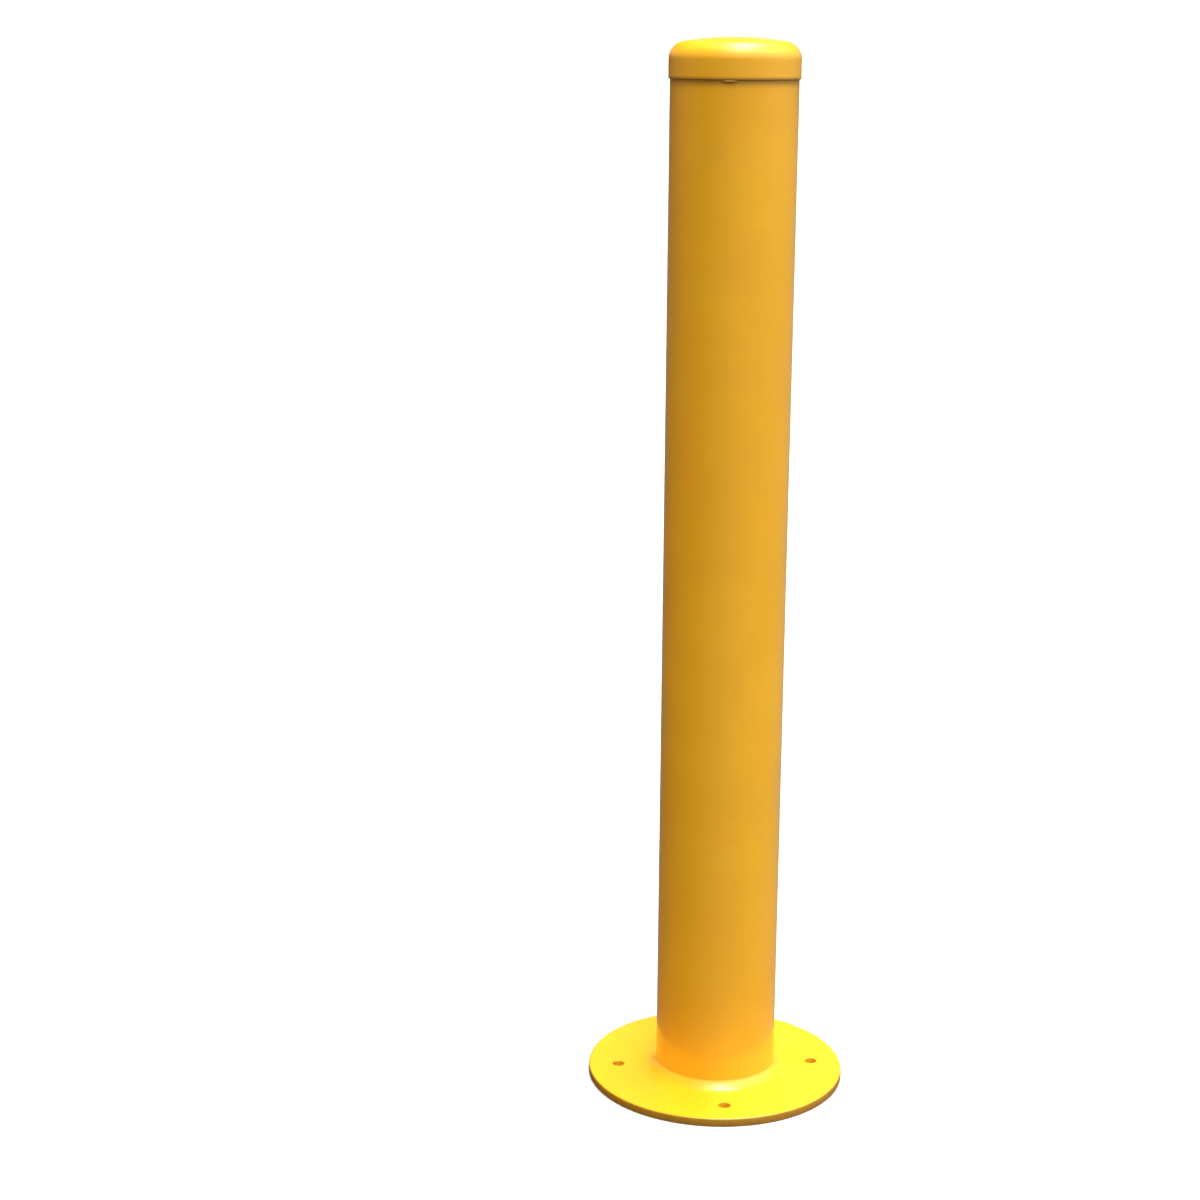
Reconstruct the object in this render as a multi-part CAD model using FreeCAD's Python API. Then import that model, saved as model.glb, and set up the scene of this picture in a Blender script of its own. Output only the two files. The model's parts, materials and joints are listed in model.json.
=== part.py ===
import FreeCAD, Part
import math
import os

# Surface-mounted steel safety bollard: a round hollow post welded to a round base plate,
# closed at the top by a pressed domed cap that slips over the post and is tacked on.
# Millimetres and degrees. +Z is up, the origin is the centre of the plate's underside, and
# -Y is the front. Turns are measured about +Z from the front, positive towards +X.

# ---- Whole bollard ----
OVERALL_HEIGHT = 1200.0

# ---- Post: circular hollow section ----
TUBE_OUTER_DIAMETER = 139.7
TUBE_WALL = 5.0

# ---- Base plate ----
PLATE_DIAMETER = 300.0
PLATE_THICKNESS = 10.0
PLATE_TOP_EDGE_RADIUS = 2.0
PLATE_BOTTOM_EDGE_RADIUS = 1.0
ANCHOR_CIRCLE_DIAMETER = 230.0
ANCHOR_HOLE_DIAMETER = 14.0
ANCHOR_HOLE_COUNT = 4
ANCHOR_TURN = 6.0
DRAIN_HOLE_DIAMETER = 25.0

# ---- Fillet weld round the foot of the post ----
FOOT_WELD_LEG = 9.0
FOOT_WELD_HOLLOW = 0.8

# ---- Cap ----
CAP_SHEET = 1.6
CAP_SKIRT_LENGTH = 21.0
CAP_SHOULDER_RADIUS = 19.0
CAP_CROWN_RADIUS = 350.0

# ---- Tack welds under the cap's rim ----
TACK_COUNT = 3
TACK_TURN = -4.0
TACK_LENGTH = 18.0
TACK_DROP = 3.2

# ---- Clearances ----
CAP_SLIP_CLEARANCE = 0.2
TACK_INSET_FROM_CAP_FACE = 0.2
HOLE_TOOL_OVERRUN = 1.0

# ---- Derived sizes and heights ----
TUBE_OUTER_RADIUS = TUBE_OUTER_DIAMETER / 2
TUBE_INNER_RADIUS = TUBE_OUTER_RADIUS - TUBE_WALL
CAP_INNER_RADIUS = TUBE_OUTER_RADIUS + CAP_SLIP_CLEARANCE
CAP_OUTER_RADIUS = CAP_INNER_RADIUS + CAP_SHEET

# The shoulder's arc is tangent to the vertical skirt and to the shallow spherical crown.
SHOULDER_CENTRE_RADIUS = CAP_OUTER_RADIUS - CAP_SHOULDER_RADIUS
CROWN_CENTRE_HEIGHT = OVERALL_HEIGHT - CAP_CROWN_RADIUS
SHOULDER_LEAN = math.degrees(math.acos(
    SHOULDER_CENTRE_RADIUS / (CAP_CROWN_RADIUS - CAP_SHOULDER_RADIUS)))
SHOULDER_HEIGHT = CROWN_CENTRE_HEIGHT + math.sqrt(
    (CAP_CROWN_RADIUS - CAP_SHOULDER_RADIUS) ** 2 - SHOULDER_CENTRE_RADIUS ** 2)
CAP_RIM_HEIGHT = SHOULDER_HEIGHT - CAP_SKIRT_LENGTH

# The post ends where the shoulder starts to curve in, so its outer corner keeps the slip clearance.
TUBE_TOP_HEIGHT = SHOULDER_HEIGHT

UP = FreeCAD.Vector(0, 0, 1)
ORIGIN = FreeCAD.Vector(0, 0, 0)


def on_section(radius, height):
    """A point of a half section, in the plane Y = 0."""
    return FreeCAD.Vector(radius, 0, height)


def line(start, end):
    return Part.LineSegment(start, end).toShape()


def arc_about(centre_radius, centre_height, radius, start_angle, end_angle):
    """An arc of a half section; its angles are in degrees above the outward horizontal."""
    points = []
    for angle in (start_angle, (start_angle + end_angle) / 2, end_angle):
        turn = math.radians(angle)
        points.append(on_section(centre_radius + radius * math.cos(turn),
                                 centre_height + radius * math.sin(turn)))
    return Part.Arc(*points).toShape()


def turned(edges, sweep=360.0):
    """The solid that a closed half section makes when it turns about the bollard's axis."""
    return Part.Face(Part.Wire(edges)).revolve(ORIGIN, UP, sweep)


def from_front(shape, turn):
    """A copy of a shape that starts on +X, turned to the given angle from the front."""
    placed = shape.copy()
    placed.rotate(ORIGIN, UP, turn - 90.0)
    return placed


def make_base_plate():
    """Round plate with softened edges, a circle of anchor holes and a central drain hole."""
    outer_radius = PLATE_DIAMETER / 2
    low_centre = outer_radius - PLATE_BOTTOM_EDGE_RADIUS
    high_centre = outer_radius - PLATE_TOP_EDGE_RADIUS
    high_start = PLATE_THICKNESS - PLATE_TOP_EDGE_RADIUS
    plate = turned([
        line(on_section(0, 0), on_section(low_centre, 0)),
        arc_about(low_centre, PLATE_BOTTOM_EDGE_RADIUS, PLATE_BOTTOM_EDGE_RADIUS, -90, 0),
        line(on_section(outer_radius, PLATE_BOTTOM_EDGE_RADIUS), on_section(outer_radius, high_start)),
        arc_about(high_centre, high_start, PLATE_TOP_EDGE_RADIUS, 0, 90),
        line(on_section(high_centre, PLATE_THICKNESS), on_section(0, PLATE_THICKNESS)),
        line(on_section(0, PLATE_THICKNESS), on_section(0, 0)),
    ])
    tool_start = FreeCAD.Vector(0, 0, -HOLE_TOOL_OVERRUN)
    tool_length = PLATE_THICKNESS + 2 * HOLE_TOOL_OVERRUN
    plate = plate.cut(Part.makeCylinder(DRAIN_HOLE_DIAMETER / 2, tool_length, tool_start))
    anchor_start = tool_start + FreeCAD.Vector(ANCHOR_CIRCLE_DIAMETER / 2, 0, 0)
    anchor_tool = Part.makeCylinder(ANCHOR_HOLE_DIAMETER / 2, tool_length, anchor_start)
    for index in range(ANCHOR_HOLE_COUNT):
        plate = plate.cut(from_front(anchor_tool, ANCHOR_TURN + index * 360.0 / ANCHOR_HOLE_COUNT))
    return plate


def make_post_tube():
    """Straight hollow post, cut square at both ends, standing on the plate."""
    length = TUBE_TOP_HEIGHT - PLATE_THICKNESS
    foot = FreeCAD.Vector(0, 0, PLATE_THICKNESS)
    outside = Part.makeCylinder(TUBE_OUTER_RADIUS, length, foot)
    return outside.cut(Part.makeCylinder(TUBE_INNER_RADIUS, length, foot))


def make_base_fillet_weld():
    """Continuous, slightly hollow fillet weld in the corner between post and plate."""
    root = on_section(TUBE_OUTER_RADIUS, PLATE_THICKNESS)
    plate_toe = root + on_section(FOOT_WELD_LEG, 0)
    post_toe = root + on_section(0, FOOT_WELD_LEG)
    face_depth = FOOT_WELD_LEG / 2 - FOOT_WELD_HOLLOW / math.sqrt(2)
    face_middle = root + on_section(face_depth, face_depth)
    return turned([
        line(root, plate_toe),
        Part.Arc(plate_toe, face_middle, post_toe).toShape(),
        line(post_toe, root),
    ])


def make_top_cap():
    """Pressed sheet cap: straight skirt, rounded shoulder and shallow crown, of even thickness."""
    inner_shoulder = CAP_SHOULDER_RADIUS - CAP_SHEET
    inner_crown = CAP_CROWN_RADIUS - CAP_SHEET
    return turned([
        line(on_section(CAP_INNER_RADIUS, CAP_RIM_HEIGHT), on_section(CAP_OUTER_RADIUS, CAP_RIM_HEIGHT)),
        line(on_section(CAP_OUTER_RADIUS, CAP_RIM_HEIGHT), on_section(CAP_OUTER_RADIUS, SHOULDER_HEIGHT)),
        arc_about(SHOULDER_CENTRE_RADIUS, SHOULDER_HEIGHT, CAP_SHOULDER_RADIUS, 0, SHOULDER_LEAN),
        arc_about(0, CROWN_CENTRE_HEIGHT, CAP_CROWN_RADIUS, SHOULDER_LEAN, 90),
        line(on_section(0, OVERALL_HEIGHT), on_section(0, OVERALL_HEIGHT - CAP_SHEET)),
        arc_about(0, CROWN_CENTRE_HEIGHT, inner_crown, 90, SHOULDER_LEAN),
        arc_about(SHOULDER_CENTRE_RADIUS, SHOULDER_HEIGHT, inner_shoulder, SHOULDER_LEAN, 0),
        line(on_section(CAP_INNER_RADIUS, SHOULDER_HEIGHT), on_section(CAP_INNER_RADIUS, CAP_RIM_HEIGHT)),
    ])


def make_cap_tack_welds():
    """Short beads that join the underside of the cap's rim to the post."""
    corner = on_section(TUBE_OUTER_RADIUS, CAP_RIM_HEIGHT)
    under_rim = on_section(CAP_OUTER_RADIUS - TACK_INSET_FROM_CAP_FACE, CAP_RIM_HEIGHT)
    on_post = corner - on_section(0, TACK_DROP)
    sweep = math.degrees(TACK_LENGTH / TUBE_OUTER_RADIUS)
    bead = turned([line(corner, on_post), line(on_post, under_rim), line(under_rim, corner)], sweep)
    first_turn = TACK_TURN - sweep / 2
    beads = []
    for index in range(TACK_COUNT):
        beads.append(from_front(bead, first_turn + index * 360.0 / TACK_COUNT))
    return Part.makeCompound(beads)


pieces = {
    "base_plate": make_base_plate(),
    "post_tube": make_post_tube(),
    "base_fillet_weld": make_base_fillet_weld(),
    "top_cap": make_top_cap(),
    "cap_tack_welds": make_cap_tack_welds(),
}

os.makedirs("parts", exist_ok=True)
for name, shape in pieces.items():
    shape.exportStep(f"parts/{name}.step")
    box = shape.optimalBoundingBox()
    print(f"{name}: {len(shape.Solids)} solid(s), valid {shape.isValid()}, volume {shape.Volume:.0f} mm3, "
          f"height {box.ZMin:.2f} to {box.ZMax:.2f}, width {box.XLength:.2f}")
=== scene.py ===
import json
import math

import bmesh
import bpy
from mathutils import Matrix, Vector, noise


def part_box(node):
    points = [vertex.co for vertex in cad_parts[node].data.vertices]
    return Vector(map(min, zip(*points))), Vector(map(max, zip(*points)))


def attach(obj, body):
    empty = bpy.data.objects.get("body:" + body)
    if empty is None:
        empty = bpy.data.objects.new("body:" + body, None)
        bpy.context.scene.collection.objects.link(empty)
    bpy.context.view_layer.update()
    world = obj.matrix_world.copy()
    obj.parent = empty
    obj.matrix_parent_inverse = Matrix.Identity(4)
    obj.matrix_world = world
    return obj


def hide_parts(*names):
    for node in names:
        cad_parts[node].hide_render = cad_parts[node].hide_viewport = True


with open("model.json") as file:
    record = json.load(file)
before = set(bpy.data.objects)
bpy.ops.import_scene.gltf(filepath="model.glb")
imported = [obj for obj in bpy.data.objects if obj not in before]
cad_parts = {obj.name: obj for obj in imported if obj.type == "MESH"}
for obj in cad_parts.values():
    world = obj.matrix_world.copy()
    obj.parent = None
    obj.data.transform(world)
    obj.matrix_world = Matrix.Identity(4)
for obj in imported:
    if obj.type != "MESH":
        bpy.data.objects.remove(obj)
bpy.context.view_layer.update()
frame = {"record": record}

# A steel safety bollard in gloss yellow powder coat: round base plate, hollow post, foot weld,
# pressed slip-over cap and the tack welds that hold it. Metres. +Z is up and -Y is the front.

MM = 0.001

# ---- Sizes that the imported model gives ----
plate_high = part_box("base_plate")[1]
post_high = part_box("post_tube")[1]
weld_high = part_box("base_fillet_weld")[1]
cap_low, cap_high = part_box("top_cap")
anchors = next(mount for mount in frame["record"]["mounts"] if mount["name"] == "anchor_holes")

PLATE_RADIUS = plate_high.x
PLATE_TOP = plate_high.z
POST_RADIUS = post_high.x
POST_TOP = post_high.z
FOOT_WELD_LEG = weld_high.z - PLATE_TOP
CAP_RADIUS = cap_high.x
CAP_RIM = cap_low.z
CAP_TOP = cap_high.z
ANCHOR_CIRCLE_RADIUS = anchors["dims"]["pcd_mm"] / 2 * MM
ANCHOR_HOLE_RADIUS = anchors["dims"]["hole_r_mm"] * MM
ANCHOR_COUNT = anchors["dims"]["count"]

# ---- Sizes of the design that the boxes don't show ----
ANCHOR_TURN = 6.0
DRAIN_HOLE_RADIUS = 12.5 * MM
PLATE_TOP_EDGE_RADIUS = 2.0 * MM
PLATE_BOTTOM_EDGE_RADIUS = 1.0 * MM
HOLE_LIP_RADIUS = 0.9 * MM
POST_WALL = 5.0 * MM
POST_END_EDGE_RADIUS = 0.4 * MM
CAP_SHEET = 1.6 * MM
CAP_SHOULDER_RADIUS = 19.0 * MM
CAP_CROWN_RADIUS = 350.0 * MM
CAP_RIM_EDGE_RADIUS = 0.75 * MM
FOOT_WELD_HOLLOW = 0.8 * MM
FOOT_WELD_RIPPLES = 166
TACK_COUNT = 3
TACK_TURN = -4.0
TACK_LENGTH = 18.0 * MM
TACK_THROW = 1.5 * MM
TACK_DROP = 1.7 * MM

# ---- How finely the meshes are made ----
ROUND_SEGMENTS = 288
ANCHOR_HOLE_SEGMENTS = 64
FLOOR_SEGMENTS = 96
SHARP_EDGE_ANGLE = 50.0
MERGE_DISTANCE = 0.001 * MM


# ---- Node graphs ----

class Value:
    """A node's output that can be used in arithmetic: each operator adds a Math node."""

    def __init__(self, graph, socket):
        self.graph = graph
        self.socket = socket

    def output(self, name):
        """Another output of the same node."""
        return Value(self.graph, self.socket.node.outputs[name])

    def __add__(self, other):
        return self.graph.maths("ADD", self, other)

    def __sub__(self, other):
        return self.graph.maths("SUBTRACT", self, other)

    def __rsub__(self, other):
        return self.graph.maths("SUBTRACT", other, self)

    def __mul__(self, other):
        return self.graph.maths("MULTIPLY", self, other)

    def __truediv__(self, other):
        return self.graph.maths("DIVIDE", self, other)

    def __pow__(self, other):
        return self.graph.maths("POWER", self, other)

    __radd__ = __add__
    __rmul__ = __mul__


class Graph:
    """A node tree, with one method that adds any node and a few that name common ones."""

    def __init__(self, tree):
        self.tree = tree

    def add(self, kind, settings=None, sockets=None, output=0):
        """Adds a node, applies its settings, then feeds its sockets with values or links."""
        node = self.tree.nodes.new(kind)
        for name, value in (settings or {}).items():
            setattr(node, name, value)
        for name, value in (sockets or {}).items():
            socket = node.inputs[name]
            if isinstance(value, Value):
                self.tree.links.new(value.socket, socket)
            else:
                socket.default_value = value
        return Value(self, node.outputs[output]) if len(node.outputs) else None

    def maths(self, operation, *values):
        """One sum on numbers, named as the Math node names it."""
        return self.add("ShaderNodeMath", {"operation": operation}, dict(enumerate(values)))

    def vector(self, operation, *values, output="Vector"):
        """One sum on vectors, named as the Vector Math node names it."""
        sockets = dict(enumerate(values))
        return self.add("ShaderNodeVectorMath", {"operation": operation}, sockets, output)

    def rise(self, value, start, end):
        """0 below start, 1 above end, and smooth between them."""
        sockets = {"Value": value, "From Min": start, "From Max": end}
        return self.add("ShaderNodeMapRange", {"interpolation_type": "SMOOTHSTEP"}, sockets)

    def clouds(self, where, size, detail=2.0):
        """Soft noise from about 0 to 1, whose patches are about as wide as size."""
        sockets = {"Vector": where, "Scale": 1 / size, "Detail": detail}
        return self.add("ShaderNodeTexNoise", sockets=sockets)

    def blend(self, factor, first, second):
        """A colour between two colours."""
        return self.add("ShaderNodeMix", {"data_type": "RGBA"}, {0: factor, 6: first, 7: second}, 2)

    def bump(self, height, depth, under=None):
        """A normal from a height of 0 to 1 that stands for a depth in metres."""
        sockets = {"Strength": 1.0, "Distance": depth, "Height": height}
        if under:
            sockets["Normal"] = under
        return self.add("ShaderNodeBump", sockets=sockets)


# ---- Meshes ----

def on_circle(centre, radius, turn):
    """The point of a circle at a turn in radians."""
    return centre[0] + radius * math.cos(turn), centre[1] + radius * math.sin(turn)


def arc(centre, radius, start, end, steps):
    """Points of an outline along an arc; the centre is (distance from the axis, height)."""
    turns = [math.radians(start + (end - start) * step / steps) for step in range(steps + 1)]
    return [on_circle(centre, radius, turn) for turn in turns]


def run(start, end, steps):
    """Points of an outline along a straight line, without its two ends."""
    points = []
    for step in range(1, steps):
        share = step / steps
        points.append(tuple(first + (last - first) * share for first, last in zip(start, end)))
    return points


def face_outwards(mesh):
    """Merges doubled vertices and turns every face outwards."""
    work = bmesh.new()
    work.from_mesh(mesh)
    bmesh.ops.remove_doubles(work, verts=work.verts, dist=MERGE_DISTANCE)
    bmesh.ops.recalc_face_normals(work, faces=work.faces)
    work.to_mesh(mesh)
    work.free()


def lathe(name, outline, segments=ROUND_SEGMENTS, centre=(0.0, 0.0)):
    """A solid of revolution. The outline is a loop, or starts and ends on the axis; one that only
    starts there makes an open dish."""
    verts, rings = [], []
    for radius, height in outline:
        on_axis = radius < MERGE_DISTANCE
        first = len(verts)
        for step in range(1 if on_axis else segments):
            turn = 2 * math.pi * step / segments
            verts.append((*on_circle(centre, radius, turn), height))
        rings.append((first, on_axis))
    closed = not rings[0][1]
    faces = []
    for index in range(len(rings) if closed else len(rings) - 1):
        lower, lower_pole = rings[index]
        upper, upper_pole = rings[(index + 1) % len(rings)]
        for step in range(segments):
            after = (step + 1) % segments
            low = [lower] if lower_pole else [lower + step, lower + after]
            high = [upper] if upper_pole else [upper + after, upper + step]
            faces.append(low + high)
    mesh = bpy.data.meshes.new(name)
    mesh.from_pydata(verts, [], faces)
    face_outwards(mesh)
    return mesh


def waver(mesh, depth, size, seed):
    """Moves a round piece's surface in and out by a few hundredths of a millimetre, as rolled and
    pressed steel does; the inside follows the outside."""
    for vertex in mesh.vertices:
        x, y, z = vertex.co
        radius = math.hypot(x, y)
        if radius > MM:
            around = Vector((x, y, 0.0)) * (POST_RADIUS / radius / size)
            shift = depth * noise.noise(around + Vector((seed, -seed, z / size)))
            vertex.co.x += x / radius * shift
            vertex.co.y += y / radius * shift


def show(name, mesh, *materials):
    """An object for a mesh that is already in place, shaded smooth but for its sharp edges."""
    mesh.name = name
    for material in materials:
        mesh.materials.append(material)
    mesh.shade_smooth()
    mesh.set_sharp_from_angle(angle=math.radians(SHARP_EDGE_ANGLE))
    piece = bpy.data.objects.new(name, mesh)
    bpy.context.scene.collection.objects.link(piece)
    return piece


def baked(carrier):
    """The plain mesh that an object's modifiers make; the object is removed."""
    depsgraph = bpy.context.evaluated_depsgraph_get()
    mesh = bpy.data.meshes.new_from_object(carrier.evaluated_get(depsgraph))
    bpy.data.objects.remove(carrier)
    return mesh


def grown(name, build, sizes, material):
    """A plain mesh from a geometry node tree whose named inputs are the given sizes."""
    tree = bpy.data.node_groups.new(name, "GeometryNodeTree")
    tree.interface.new_socket("Geometry", in_out="OUTPUT", socket_type="NodeSocketGeometry")
    for label, size in sizes.items():
        kind = "NodeSocketInt" if isinstance(size, int) else "NodeSocketFloat"
        tree.interface.new_socket(label, in_out="INPUT", socket_type=kind)
    graph = Graph(tree)
    entry = tree.nodes.new("NodeGroupInput")
    shape = build(graph, {label: Value(graph, entry.outputs[label]) for label in sizes})
    shape = graph.add("GeometryNodeRealizeInstances", sockets={"Geometry": shape})
    shape = graph.add("GeometryNodeSetMaterial", sockets={"Geometry": shape, "Material": material})
    graph.add("NodeGroupOutput", sockets={"Geometry": shape})
    carrier = bpy.data.objects.new(name, bpy.data.meshes.new(name))
    bpy.context.scene.collection.objects.link(carrier)
    modifier = carrier.modifiers.new(name, "NODES")
    modifier.node_group = tree
    for socket in tree.interface.items_tree:
        if socket.in_out == "INPUT":
            modifier[socket.identifier] = sizes[socket.name]
    mesh = baked(carrier)
    face_outwards(mesh)
    return mesh


# ---- Powder coat and steel ----

GOLDEN = (0.86, 0.43, 0.011, 1.0)
DEEP_GOLDEN = (0.82, 0.39, 0.009, 1.0)
# Dark brown for thinned coat on cut edges, also painted on as shade in corners and under the cap's
# rim.
THIN_COAT_AND_SHADE_BROWN = (0.28, 0.12, 0.008, 1.0)
HANDLING_GREY = (0.30, 0.19, 0.05, 1.0)
MILL_SCALE = (0.055, 0.055, 0.06, 1.0)
FRESH_RUST = (0.16, 0.065, 0.025, 1.0)

PEEL_SIZE = 2.6 * MM
FINE_PEEL_SIZE = 1.1 * MM
PEEL_DEPTH = 0.012 * MM
FLOW_SIZE = 24 * MM
FLOW_DEPTH = 0.05 * MM
SCALE_DEPTH = 0.05 * MM
DRAWN_LINE_DEPTH = 0.05 * MM


class Place:
    """Where a point of the surface is: the point, its x, y and z from the middle of the plate's
    underside, and its distance from the axis."""

    def __init__(self, graph):
        self.point = graph.add("ShaderNodeTexCoord", output="Object")
        self.x = graph.add("ShaderNodeSeparateXYZ", sockets={0: self.point})
        self.y = self.x.output("Y")
        self.z = self.x.output("Z")
        self.radius = (self.x * self.x + self.y * self.y) ** 0.5


def new_material(name):
    """An empty material and the graph of its nodes."""
    material = bpy.data.materials.new(name)
    material.use_nodes = True
    material.node_tree.nodes.clear()
    return material, Graph(material.node_tree)


def powder_coat(name, thin_and_shade=None, grime=None, relief=None, dulled=0.0):
    """Gloss yellow powder coat with a fine orange peel. The first function after the name and grime
    both take the graph and the place and give masks: the first where the coat is thinned and where
    shade is painted on in dark brown, grime where it is soiled. relief gives any extra relief and
    its depth. dulled is added to the roughness all over, and spreads the clear layer's highlight
    with it."""
    material, graph = new_material(name)
    place = Place(graph)
    patches = graph.clouds(place.point, 85 * MM, 3.0)
    mottle = graph.clouds(place.point, 9 * MM)
    fine_peel = graph.clouds(place.point, FINE_PEEL_SIZE, 1.0)
    peel = graph.clouds(place.point, PEEL_SIZE)
    flow = graph.clouds(place.point, FLOW_SIZE, 1.0)

    colour = graph.blend(graph.rise(patches * 0.75 + mottle * 0.25, 0.3, 0.7), DEEP_GOLDEN, GOLDEN)
    roughness = 0.27 + dulled + patches * 0.07 + mottle * 0.04
    clear = 0.55 - patches * 0.2
    if thin_and_shade:
        # Painted shade and thinned coat: darkens the colour towards dark brown.
        bared_and_shaded = thin_and_shade(graph, place)
        colour = graph.blend(bared_and_shaded * 0.9, colour, THIN_COAT_AND_SHADE_BROWN)
        roughness = roughness + bared_and_shaded * 0.25
        clear = clear - bared_and_shaded * 0.45
    if grime:
        soiled = grime(graph, place)
        colour = graph.blend(soiled * 0.35, colour, HANDLING_GREY)
        roughness = roughness + soiled * 0.22
        clear = clear - soiled * 0.3

    normal = graph.bump(flow, FLOW_DEPTH)
    if relief:
        height, depth = relief(graph, place)
        normal = graph.bump(height, depth, normal)
    normal = graph.bump(peel * 0.75 + fine_peel * 0.25, PEEL_DEPTH, normal)
    shader = graph.add("ShaderNodeBsdfPrincipled", sockets={
        "Base Color": colour,
        "Roughness": roughness,
        "Coat Weight": clear,
        "Normal": normal,
        "Coat Roughness": 0.12 + dulled * 1.5,
        "IOR": 1.5,
    })
    graph.add("ShaderNodeOutputMaterial", sockets={"Surface": shader})
    return material


def inner_steel(name):
    """Bare inside of the post: dark mill scale with rust starting in patches."""
    material, graph = new_material(name)
    place = Place(graph)
    patches = graph.clouds(place.point, 26 * MM, 5.0)
    grain = graph.clouds(place.point, 2 * MM, 3.0)
    rust = graph.rise(patches * 0.8 + grain * 0.2, 0.48, 0.62)
    shader = graph.add("ShaderNodeBsdfPrincipled", sockets={
        "Base Color": graph.blend(rust, MILL_SCALE, FRESH_RUST),
        "Roughness": 0.45 + rust * 0.4,
        "Metallic": 0.85 - rust * 0.8,
        "Normal": graph.bump(grain, SCALE_DEPTH),
    })
    graph.add("ShaderNodeOutputMaterial", sockets={"Surface": shader})
    return material


def speckle(graph, place, size, share):
    """Small scattered dots, about the given share of their cells wide."""
    sockets = {"Vector": place.point, "Scale": 1 / size}
    cells = graph.add("ShaderNodeTexVoronoi", sockets=sockets, output="Distance")
    return 1 - graph.rise(cells, share * 0.5, share)


def plate_edge_thinned_coat_and_shade(graph, place):
    """The plate's cut edge is painted darker: partly a thinned coat, partly painted shade that
    grows towards the floor.
    """
    rim = graph.rise(place.radius, PLATE_RADIUS - 1.2 * MM, PLATE_RADIUS - 0.1 * MM)
    # Painted shade: the edge grows darker towards the floor.
    low = 1 - graph.rise(place.z, 1.0 * MM, PLATE_TOP - 1.0 * MM) * 0.3
    ragged = 0.75 + graph.clouds(place.point, 6 * MM, 3.0) * 0.5
    return rim * low * ragged


def plate_grime(graph, place):
    """Faint handling marks on the top, and floor rub on the underside."""
    streaks = graph.vector("MULTIPLY", place.point, (1.0, 4.5, 1.0))
    scuffs = graph.rise(graph.clouds(streaks, 30 * MM, 5.0), 0.62, 0.78)
    underneath = 1 - graph.rise(place.z, 0.1 * MM, 0.6 * MM)
    rub = graph.rise(graph.clouds(place.point, 12 * MM, 6.0), 0.45, 0.7)
    dots = speckle(graph, place, 7 * MM, 0.12)
    return scuffs * 0.12 + underneath * (0.25 + rub * 0.9) + dots * 0.15


def post_grime(graph, place):
    """A soft smudge high on the front, faint lengthwise streaks and scattered specks."""
    smudge_middle = (-21 * MM, -66 * MM, 1080 * MM)
    distance = graph.vector("DISTANCE", place.point, smudge_middle, output="Value")
    smudge = (1 - graph.rise(distance, 4 * MM, 24 * MM)) * graph.clouds(place.point, 14 * MM, 3.0)
    drawn = graph.vector("MULTIPLY", place.point, (1.0, 1.0, 0.06))
    lines = graph.rise(graph.clouds(drawn, 7 * MM, 3.0), 0.52, 0.8)
    dots = speckle(graph, place, 16 * MM, 0.05)
    return smudge * 0.5 + lines * 0.05 + dots * 0.2


def post_relief(graph, place):
    """Faint lengthwise lines from forming, and the trimmed weld seam down the back."""
    drawn = graph.vector("MULTIPLY", place.point, (1.0, 1.0, 0.02))
    lines = graph.clouds(drawn, 5 * MM, 2.0)
    seam_offset = 9 * MM
    seam = 1 - graph.rise(graph.maths("ABSOLUTE", place.x - seam_offset), 0.6 * MM, 2.2 * MM)
    behind = graph.rise(place.y, 0.0, 20 * MM)
    return lines * 0.25 + seam * behind * 0.75, DRAWN_LINE_DEPTH


def cap_rim_thinned_coat_and_shade(graph, place):
    """Painted shade on the lowest few millimetres of the cap's skirt, darkest at the rim, where the
    coat also pulls back from the trimmed edge.
    """
    return (1 - graph.rise(place.z, CAP_RIM + 0.4 * MM, CAP_RIM + 4.4 * MM)) * 0.78


def post_under_rim_painted_shade(graph, place):
    """Painted shade: a dark band on the post under the cap's rim, about 9 mm deep with a ragged
    lower edge.
    """
    ragged = graph.clouds(place.point, 14 * MM, 3.0) * 1.2 * MM
    return graph.rise(place.z + ragged, CAP_RIM - 9 * MM, CAP_RIM - 0.5 * MM) * 0.75


def tack_weld_painted_shade(graph, place):
    """Painted shade on the tack welds, which sit in the corner under the rim: dark all over, a
    little patchy.
    """
    return 0.75 + graph.clouds(place.point, 3 * MM, 3.0) * 0.3


def cap_grime(graph, place):
    """A trace of dust on the crown and light vertical draw marks on the skirt."""
    dust = graph.rise(place.z, CAP_TOP - 5 * MM, CAP_TOP) * graph.clouds(place.point, 18 * MM, 4.0)
    drawn = graph.vector("MULTIPLY", place.point, (1.0, 1.0, 0.12))
    marks = graph.rise(graph.clouds(drawn, 4 * MM, 2.0), 0.5, 0.8)
    return dust * 0.12 + marks * 0.08


def weld_toe_painted_shade(graph, place):
    """Painted shade along the foot weld's upper toe, in the corner against the post."""
    return graph.rise(place.z, PLATE_TOP + FOOT_WELD_LEG * 0.8, PLATE_TOP + FOOT_WELD_LEG) * 0.4


# ---- Pieces ----

def anchor_middles():
    """Where the anchor holes' axes stand: the first at the front, turned a little to the right."""
    front = -90
    middles = []
    for index in range(ANCHOR_COUNT):
        turn = math.radians(ANCHOR_TURN + front + index * 360 / ANCHOR_COUNT)
        middles.append(on_circle((0.0, 0.0), ANCHOR_CIRCLE_RADIUS, turn))
    return middles


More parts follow.
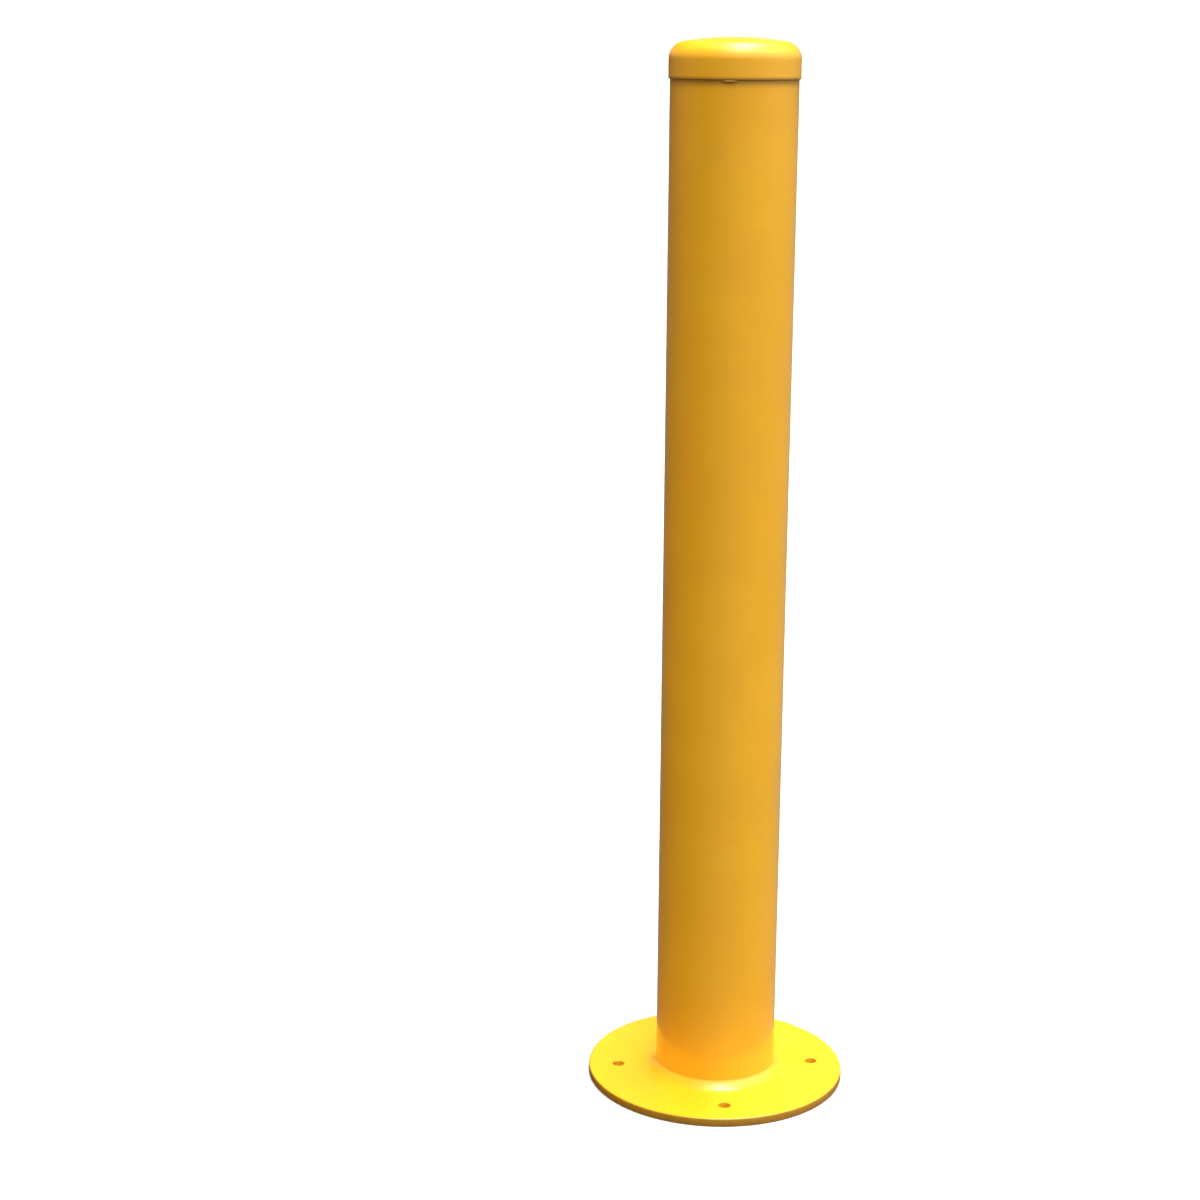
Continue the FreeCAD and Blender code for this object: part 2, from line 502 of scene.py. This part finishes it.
def make_base_plate(coat):
    """Round plate with softened edges, a drain hole and four anchor holes with rounded lips."""
    lip, low, high = HOLE_LIP_RADIUS, PLATE_BOTTOM_EDGE_RADIUS, PLATE_TOP_EDGE_RADIUS
    blank = lathe("base_plate_blank", [
        *arc((DRAIN_HOLE_RADIUS + lip, lip), lip, 180, 270, 5),
        *arc((PLATE_RADIUS - low, low), low, 270, 360, 5),
        *arc((PLATE_RADIUS - high, PLATE_TOP - high), high, 0, 90, 8),
        *arc((DRAIN_HOLE_RADIUS + lip, PLATE_TOP - lip), lip, 90, 180, 5),
    ])
    # The flare stops short of level, so that each cutter meets the plate's faces at an angle.
    flare = 262
    outer_lip = ANCHOR_HOLE_RADIUS + lip
    overrun = 3 * MM
    below = arc((outer_lip, lip), lip, flare, 180, 6)
    above = arc((outer_lip, PLATE_TOP - lip), lip, 180, 360 - flare, 6)
    outline = [(0, -overrun), (below[0][0], -overrun), *below,
               *above, (above[-1][0], PLATE_TOP + overrun), (0, PLATE_TOP + overrun)]
    cutters = bmesh.new()
    for middle in anchor_middles():
        cutters.from_mesh(lathe("anchor_cutter", outline, ANCHOR_HOLE_SEGMENTS, middle))
    cutter_mesh = bpy.data.meshes.new("anchor_cutters")
    cutters.to_mesh(cutter_mesh)
    cutters.free()
    cutter = bpy.data.objects.new("anchor_cutters", cutter_mesh)
    carrier = bpy.data.objects.new("base_plate_carrier", blank)
    for item in (cutter, carrier):
        bpy.context.scene.collection.objects.link(item)
    blank.shade_smooth()
    cutter_mesh.shade_smooth()
    holes = carrier.modifiers.new("anchor_holes", "BOOLEAN")
    holes.operation = "DIFFERENCE"
    holes.solver = "EXACT"
    holes.object = cutter
    shading = carrier.modifiers.new("flat_faces_first", "WEIGHTED_NORMAL")
    shading.keep_sharp = True
    mesh = baked(carrier)
    bpy.data.objects.remove(cutter)
    # The weighted shading is already in the mesh, so show() isn't used here.
    mesh.name = "base_plate_coated"
    mesh.materials.clear()
    mesh.materials.append(coat)
    plate = bpy.data.objects.new("base_plate_coated", mesh)
    bpy.context.scene.collection.objects.link(plate)
    return plate


def make_post_tube(coat, bare):
    """Hollow post with eased ends; its bore is bare steel."""
    bore, ease = POST_RADIUS - POST_WALL, POST_END_EDGE_RADIUS
    foot, top = PLATE_TOP, POST_TOP
    mesh = lathe("post_tube", [
        *arc((POST_RADIUS - ease, foot + ease), ease, 270, 360, 3),
        *run((POST_RADIUS, foot), (POST_RADIUS, top), 110),
        *arc((POST_RADIUS - ease, top - ease), ease, 0, 90, 3),
        *arc((bore + ease, top - ease), ease, 90, 180, 3),
        *run((bore, top), (bore, foot), 24),
        *arc((bore + ease, foot + ease), ease, 180, 270, 3),
    ])
    waver(mesh, 0.09 * MM, 45 * MM, 3.7)
    post = show("post_tube_coated", mesh, coat, bare)
    for face in mesh.polygons:
        if face.center.to_2d().length < bore + ease:
            face.material_index = 1
    return post


def make_top_cap(coat):
    """Pressed sheet cap: shallow crown, rounded shoulder and straight skirt with an eased rim."""
    shoulder_middle = CAP_RADIUS - CAP_SHOULDER_RADIUS
    reach = CAP_CROWN_RADIUS - CAP_SHOULDER_RADIUS
    lean = math.degrees(math.acos(shoulder_middle / reach))
    crown_middle = CAP_TOP - CAP_CROWN_RADIUS
    shoulder_height = crown_middle + math.sqrt(reach ** 2 - shoulder_middle ** 2)
    inner, ease = CAP_RADIUS - CAP_SHEET, CAP_RIM_EDGE_RADIUS
    mesh = lathe("top_cap", [
        *arc((0, crown_middle), CAP_CROWN_RADIUS, 90, lean, 20),
        *arc((shoulder_middle, shoulder_height), CAP_SHOULDER_RADIUS, lean, 0, 18)[1:],
        *run((CAP_RADIUS, shoulder_height), (CAP_RADIUS, CAP_RIM + ease), 8),
        *arc((CAP_RADIUS - ease, CAP_RIM + ease), ease, 360, 270, 4),
        *arc((inner + ease, CAP_RIM + ease), ease, 270, 180, 4),
        *run((inner, CAP_RIM + ease), (inner, shoulder_height), 8),
        *arc((shoulder_middle, shoulder_height), CAP_SHOULDER_RADIUS - CAP_SHEET, 0, lean, 12),
        *arc((0, crown_middle), CAP_CROWN_RADIUS - CAP_SHEET, lean, 90, 12)[1:],
    ])
    waver(mesh, 0.08 * MM, 22 * MM, 8.2)
    return show("top_cap_coated", mesh, coat)


def foot_weld_shape(graph, size):
    """A ring of hollow fillet weld: a sheet of points wrapped round the foot, with soft ripples."""
    around, across = FOOT_WELD_RIPPLES * 8, 20
    face_share = 0.8
    leg_variation, wander = 0.10, 1.5
    stop_turn, stop_sharpness, stop_height = math.radians(62), 11, 0.09
    sheet = graph.add("GeometryNodeMeshGrid", sockets={
        "Size X": 1.0, "Size Y": 1.0, "Vertices X": around + 1, "Vertices Y": across + 1})
    spot = graph.add("ShaderNodeSeparateXYZ", sockets={0: graph.add("GeometryNodeInputPosition")})
    turn = (spot + 0.5) * (2 * math.pi)
    along = spot.output("Y") + 0.5
    cosine, sine = graph.maths("COSINE", turn), graph.maths("SINE", turn)
    ring = graph.add("ShaderNodeCombineXYZ", sockets={0: cosine, 1: sine, 2: size["Seed"]})
    noise_sockets = {"Vector": ring, "Scale": 5.0, "Detail": 3.0}
    unevenness = graph.add("ShaderNodeTexNoise", sockets=noise_sockets) - 0.5

    # The hollow face is an arc between the two toes; its middle lies beyond the corner's diagonal.
    leg = size["Leg"] * (1 + unevenness * leg_variation)
    hollow = size["Hollow"]
    half_chord = leg * math.sqrt(0.5)
    hollow_radius = (half_chord * half_chord + hollow * hollow) / (2 * hollow)
    middle = leg * 0.5 + (hollow_radius - hollow) * math.sqrt(0.5)
    half_angle = graph.maths("ARCSINE", half_chord / hollow_radius)
    share = graph.maths("MINIMUM", along / face_share, 1.0)
    swing = 1 - share * 2
    belly = 1 - swing * swing

    ripple = graph.maths("ABSOLUTE", graph.maths(
        "SINE", (turn * size["Ripple Count"] / (2 * math.pi) + belly * 0.9) * math.pi))
    stop = (turn - stop_turn) * stop_sharpness
    overlap = graph.maths("EXPONENT", 0 - stop * stop)
    rippled = size["Ripple Height"] * ripple * (1 + unevenness)
    build_up = belly * (rippled + overlap * size["Leg"] * stop_height)
    swept = hollow_radius - build_up - unevenness * size["Ripple Height"] * wander * belly
    angle = half_angle * swing + math.radians(225)

    # Past the post's toe the sheet runs down the post, then out under the weld to the plate's toe.
    back = graph.maths("MAXIMUM", (along - face_share) / (1 - face_share), 0.0)
    down = graph.maths("MINIMUM", back * 2, 1.0)
    out = graph.maths("MAXIMUM", back * 2 - 1, 0.0)
    radius = size["Post Radius"] + middle + swept * graph.maths("COSINE", angle) + out * leg
    height = size["Plate Top"] + middle + swept * graph.maths("SINE", angle) - down * leg
    placed = graph.add("ShaderNodeCombineXYZ", sockets={
        0: radius * cosine, 1: radius * sine, 2: height})
    bent = graph.add("GeometryNodeSetPosition", sockets={"Geometry": sheet, "Position": placed})
    return graph.add("GeometryNodeMergeByDistance", sockets={
        "Geometry": bent, "Distance": 2 * MERGE_DISTANCE})


def make_foot_weld(coat):
    """The weld ring round the post's foot, in its coat."""
    mesh = grown("foot_weld_shape", foot_weld_shape, {
        "Post Radius": POST_RADIUS,
        "Plate Top": PLATE_TOP,
        "Leg": FOOT_WELD_LEG,
        "Hollow": FOOT_WELD_HOLLOW,
        "Ripple Count": float(FOOT_WELD_RIPPLES),
        "Ripple Height": 0.08 * MM,
        "Seed": 4.0,
    }, coat)
    return show("base_fillet_weld_coated", mesh)


def tack_weld_shape(graph, size):
    """Short rippled beads, set out along a line that is then wrapped round the post."""
    sunk_below_rim, stand_off, lumps_per_metre = 0.8, 0.25, 260.0
    bead = graph.add("GeometryNodeMeshUVSphere", sockets={
        "Segments": 40, "Rings": 56, "Radius": 1.0})
    spot = graph.add("ShaderNodeSeparateXYZ", sockets={0: graph.add("GeometryNodeInputPosition")})
    lengthwise = spot.output("Z")
    ripple = graph.maths("ABSOLUTE", graph.maths(
        "SINE", lengthwise * size["Ripple Count"] * (math.pi / 2)))
    swell = 0.92 + ripple * 0.1
    shaped = graph.add("ShaderNodeCombineXYZ", sockets={
        0: lengthwise * size["Length"] * 0.5,
        1: spot * size["Throw"] * swell,
        2: spot.output("Y") * size["Drop"] * swell})
    bead = graph.add("GeometryNodeSetPosition", sockets={"Geometry": bead, "Position": shaped})
    pitch = size["Post Radius"] * 2 * math.pi / size["Count"]
    offset = graph.add("ShaderNodeCombineXYZ", sockets={0: pitch})
    line = graph.add("GeometryNodeMeshLine", sockets={"Count": size["Count"], "Offset": offset})
    beads = graph.add("GeometryNodeInstanceOnPoints", sockets={"Points": line, "Instance": bead})
    beads = graph.add("GeometryNodeRealizeInstances", sockets={"Geometry": beads})
    turn = spot / size["Post Radius"] + size["Turn"]
    noise_sockets = {"Vector": spot.output("X"), "Scale": lumps_per_metre}
    lumps = graph.add("ShaderNodeTexNoise", sockets=noise_sockets) - 0.5
    radius = size["Post Radius"] + spot.output("Y") + size["Throw"] * stand_off
    height = size["Rim"] + spot.output("Z") * (1 + lumps * 0.4) - size["Drop"] * sunk_below_rim
    placed = graph.add("ShaderNodeCombineXYZ", sockets={
        0: radius * graph.maths("SINE", turn),
        1: 0 - radius * graph.maths("COSINE", turn),
        2: height})
    return graph.add("GeometryNodeSetPosition", sockets={"Geometry": beads, "Position": placed})


def make_tack_welds(coat):
    """The tack welds under the cap's rim, in their coat."""
    mesh = grown("tack_weld_shape", tack_weld_shape, {
        "Post Radius": POST_RADIUS,
        "Rim": CAP_RIM,
        "Turn": math.radians(TACK_TURN),
        "Count": TACK_COUNT,
        "Length": TACK_LENGTH,
        "Throw": TACK_THROW,
        "Drop": TACK_DROP,
        "Ripple Count": 7.0,
    }, coat)
    return show("cap_tack_welds_coated", mesh)


# ---- Stage, light and camera ----

FLOOR_GREY = (0.50, 0.50, 0.50, 1.0)
FLOOR_GAP = 0.1 * MM
FLOOR_FLAT_RADIUS = 7.0
FLOOR_RISE_RADIUS = 9.0
FLOOR_RISE_ANGLE = 75

STRIP_WIDTH = 4.2
STRIP_LENGTH = 13.0
STRIP_POWER = 2000
STRIP_MIDDLE = (1.8, -0.5, 12.0)


def make_floor():
    """Pale floor that curves gently up far away, a hair below the plate so that the two don't share
    a plane. Only the camera sees it, so that it throws no light back onto the glossy coat."""
    rise = arc((FLOOR_FLAT_RADIUS, FLOOR_RISE_RADIUS), FLOOR_RISE_RADIUS,
               270, 270 + FLOOR_RISE_ANGLE, 24)
    outline = [(0, -FLOOR_GAP), (FLOOR_FLAT_RADIUS, -FLOOR_GAP), *rise[1:]]
    mesh = lathe("floor", outline, FLOOR_SEGMENTS)
    material, graph = new_material("pale_floor")
    shader = graph.add("ShaderNodeBsdfPrincipled", sockets={
        "Base Color": FLOOR_GREY, "Roughness": 0.9, "Specular IOR Level": 0.0})
    graph.add("ShaderNodeOutputMaterial", sockets={"Surface": shader})
    floor = show("floor", mesh, material)
    floor.visible_diffuse = False
    floor.visible_glossy = False
    floor.visible_shadow = False


def heading(bearing, elevation):
    """The direction towards a light; the bearing runs from the front towards +X."""
    turn, lift = math.radians(bearing), math.radians(elevation)
    level = math.cos(lift)
    return Vector((math.sin(turn) * level, -math.cos(turn) * level, math.sin(lift)))


def far_light(name, energy, width, bearing, elevation):
    """A broad soft light far away that brightens surfaces but isn't mirrored in them: its strength,
    its width in degrees and its direction."""
    light = bpy.data.lights.new(name, "SUN")
    light.energy = energy
    light.angle = math.radians(width)
    holder = bpy.data.objects.new(name, light)
    holder.rotation_euler = heading(bearing, elevation).to_track_quat("Z", "Y").to_euler()
    holder.visible_glossy = False
    bpy.context.scene.collection.objects.link(holder)


def strip_light():
    """A long softbox high overhead that runs from the front to the back, a little to the right."""
    light = bpy.data.lights.new("strip_light", "AREA")
    light.shape = "RECTANGLE"
    light.size, light.size_y = STRIP_WIDTH, STRIP_LENGTH
    light.energy = STRIP_POWER
    holder = bpy.data.objects.new("strip_light", light)
    holder.location = STRIP_MIDDLE
    bpy.context.scene.collection.objects.link(holder)


# Each soft wall light: its bearing, its elevation, its strength and its tint.
WALL_LIGHTS = (
    (0, 45, 1.1, (1.0, 1.0, 1.0)),
    (45, 45, 1.5, (1.0, 1.0, 1.0)),
    (90, 30, 1.8, (0.95, 1.0, 0.95)),
    (-90, 20, 1.35, (1.15, 0.9, 0.35)),
)
WALL_LIGHT_FOCUS = 6
WHITE = (1.0, 1.0, 1.0)
FLOOR_GLOW = 0.3
FLOOR_GLOW_AT_LEFT = 0.25
WALL_GLOW = 0.6


def make_room():
    """Broad soft lights in front and at the sides, above a dim floor that is darker on the left."""
    world = bpy.data.worlds.new("room")
    bpy.context.scene.world = world
    world.use_nodes = True
    world.node_tree.nodes.clear()
    graph = Graph(world.node_tree)
    way = graph.add("ShaderNodeTexCoord", output="Generated")
    across = graph.add("ShaderNodeSeparateXYZ", sockets={0: way})
    up = across.output("Z")
    above_floor = graph.rise(up, -0.08, 0.05)

    # A low glow along the wall behind, which the cap's crown mirrors at a glancing angle.
    behind = graph.rise(across.output("Y"), 0.2, 0.8)
    low = graph.rise(up, 0.06, 0.16) * (1 - graph.rise(up, 0.18, 0.3))
    light = graph.vector("MULTIPLY", behind * low * WALL_GLOW, WHITE)
    for bearing, elevation, strength, tint in WALL_LIGHTS:
        along = graph.vector("DOT_PRODUCT", way, heading(bearing, elevation), output="Value")
        facing = graph.maths("MAXIMUM", along, 0.0)
        lobe = facing ** WALL_LIGHT_FOCUS * strength * above_floor
        light = graph.vector("ADD", light, graph.vector("MULTIPLY", lobe, tint))
    rightwards = graph.rise(across, -0.9, 0.2) * (1 - FLOOR_GLOW_AT_LEFT)
    floor = (1 - above_floor) * (FLOOR_GLOW_AT_LEFT + rightwards) * FLOOR_GLOW
    light = graph.vector("ADD", light, graph.vector("MULTIPLY", floor, WHITE))
    backdrop = graph.add("ShaderNodeBackground", sockets={"Color": light, "Strength": 1.0})
    graph.add("ShaderNodeOutputWorld", sockets={"Surface": backdrop})


CAMERA_PLACE = (0.0, -2.550, 1.198)
CAMERA_PAN = 3.17
CAMERA_PITCH = 13.71
CAMERA_ROLL = 0.42
FOCAL_LENGTH = 69.16
SENSOR_WIDTH = 36.0
FARTHEST_SEEN = 200.0


def make_camera():
    """At the cap's height, two and a half metres in front, looking down towards the foot."""
    lens = bpy.data.cameras.new("camera")
    lens.lens = FOCAL_LENGTH
    lens.sensor_width = SENSOR_WIDTH
    lens.clip_end = FARTHEST_SEEN
    camera = bpy.data.objects.new("camera", lens)
    pan = Matrix.Rotation(math.radians(CAMERA_PAN), 4, "Z")
    tip = Matrix.Rotation(math.pi / 2 - math.radians(CAMERA_PITCH), 4, "X")
    roll = Matrix.Rotation(math.radians(CAMERA_ROLL), 4, "Z")
    camera.matrix_world = Matrix.Translation(CAMERA_PLACE) @ (pan @ tip @ roll)
    bpy.context.scene.collection.objects.link(camera)
    bpy.context.scene.camera = camera
    bpy.context.scene.view_settings.view_transform = "Standard"


# ---- The bollard ----

make_camera()
plate_coat = powder_coat("plate_powder_coat", plate_edge_thinned_coat_and_shade, plate_grime)
post_coat = powder_coat("post_powder_coat", post_under_rim_painted_shade, post_grime, post_relief)
cap_coat = powder_coat("cap_powder_coat", cap_rim_thinned_coat_and_shade, cap_grime, dulled=0.08)
weld_coat = powder_coat("weld_powder_coat", weld_toe_painted_shade, dulled=-0.04)
# The tack welds' colour is painted shade, dark all over as under the rim.
tack_coat_in_painted_shade = powder_coat("tack_powder_coat_painted_shade", tack_weld_painted_shade, dulled=0.2)
bore_steel = inner_steel("bare_bore_steel")

made = {
    "base_plate": make_base_plate(plate_coat),
    "post_tube": make_post_tube(post_coat, bore_steel),
    "base_fillet_weld": make_foot_weld(weld_coat),
    "top_cap": make_top_cap(cap_coat),
    "cap_tack_welds": make_tack_welds(tack_coat_in_painted_shade),
}
for node, piece in made.items():
    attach(piece, "root")
    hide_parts(node)

make_floor()
strip_light()
far_light("ceiling_light", 3.3, 30, 0, 90)
far_light("back_light", 1.3, 60, 170, 30)
make_room()
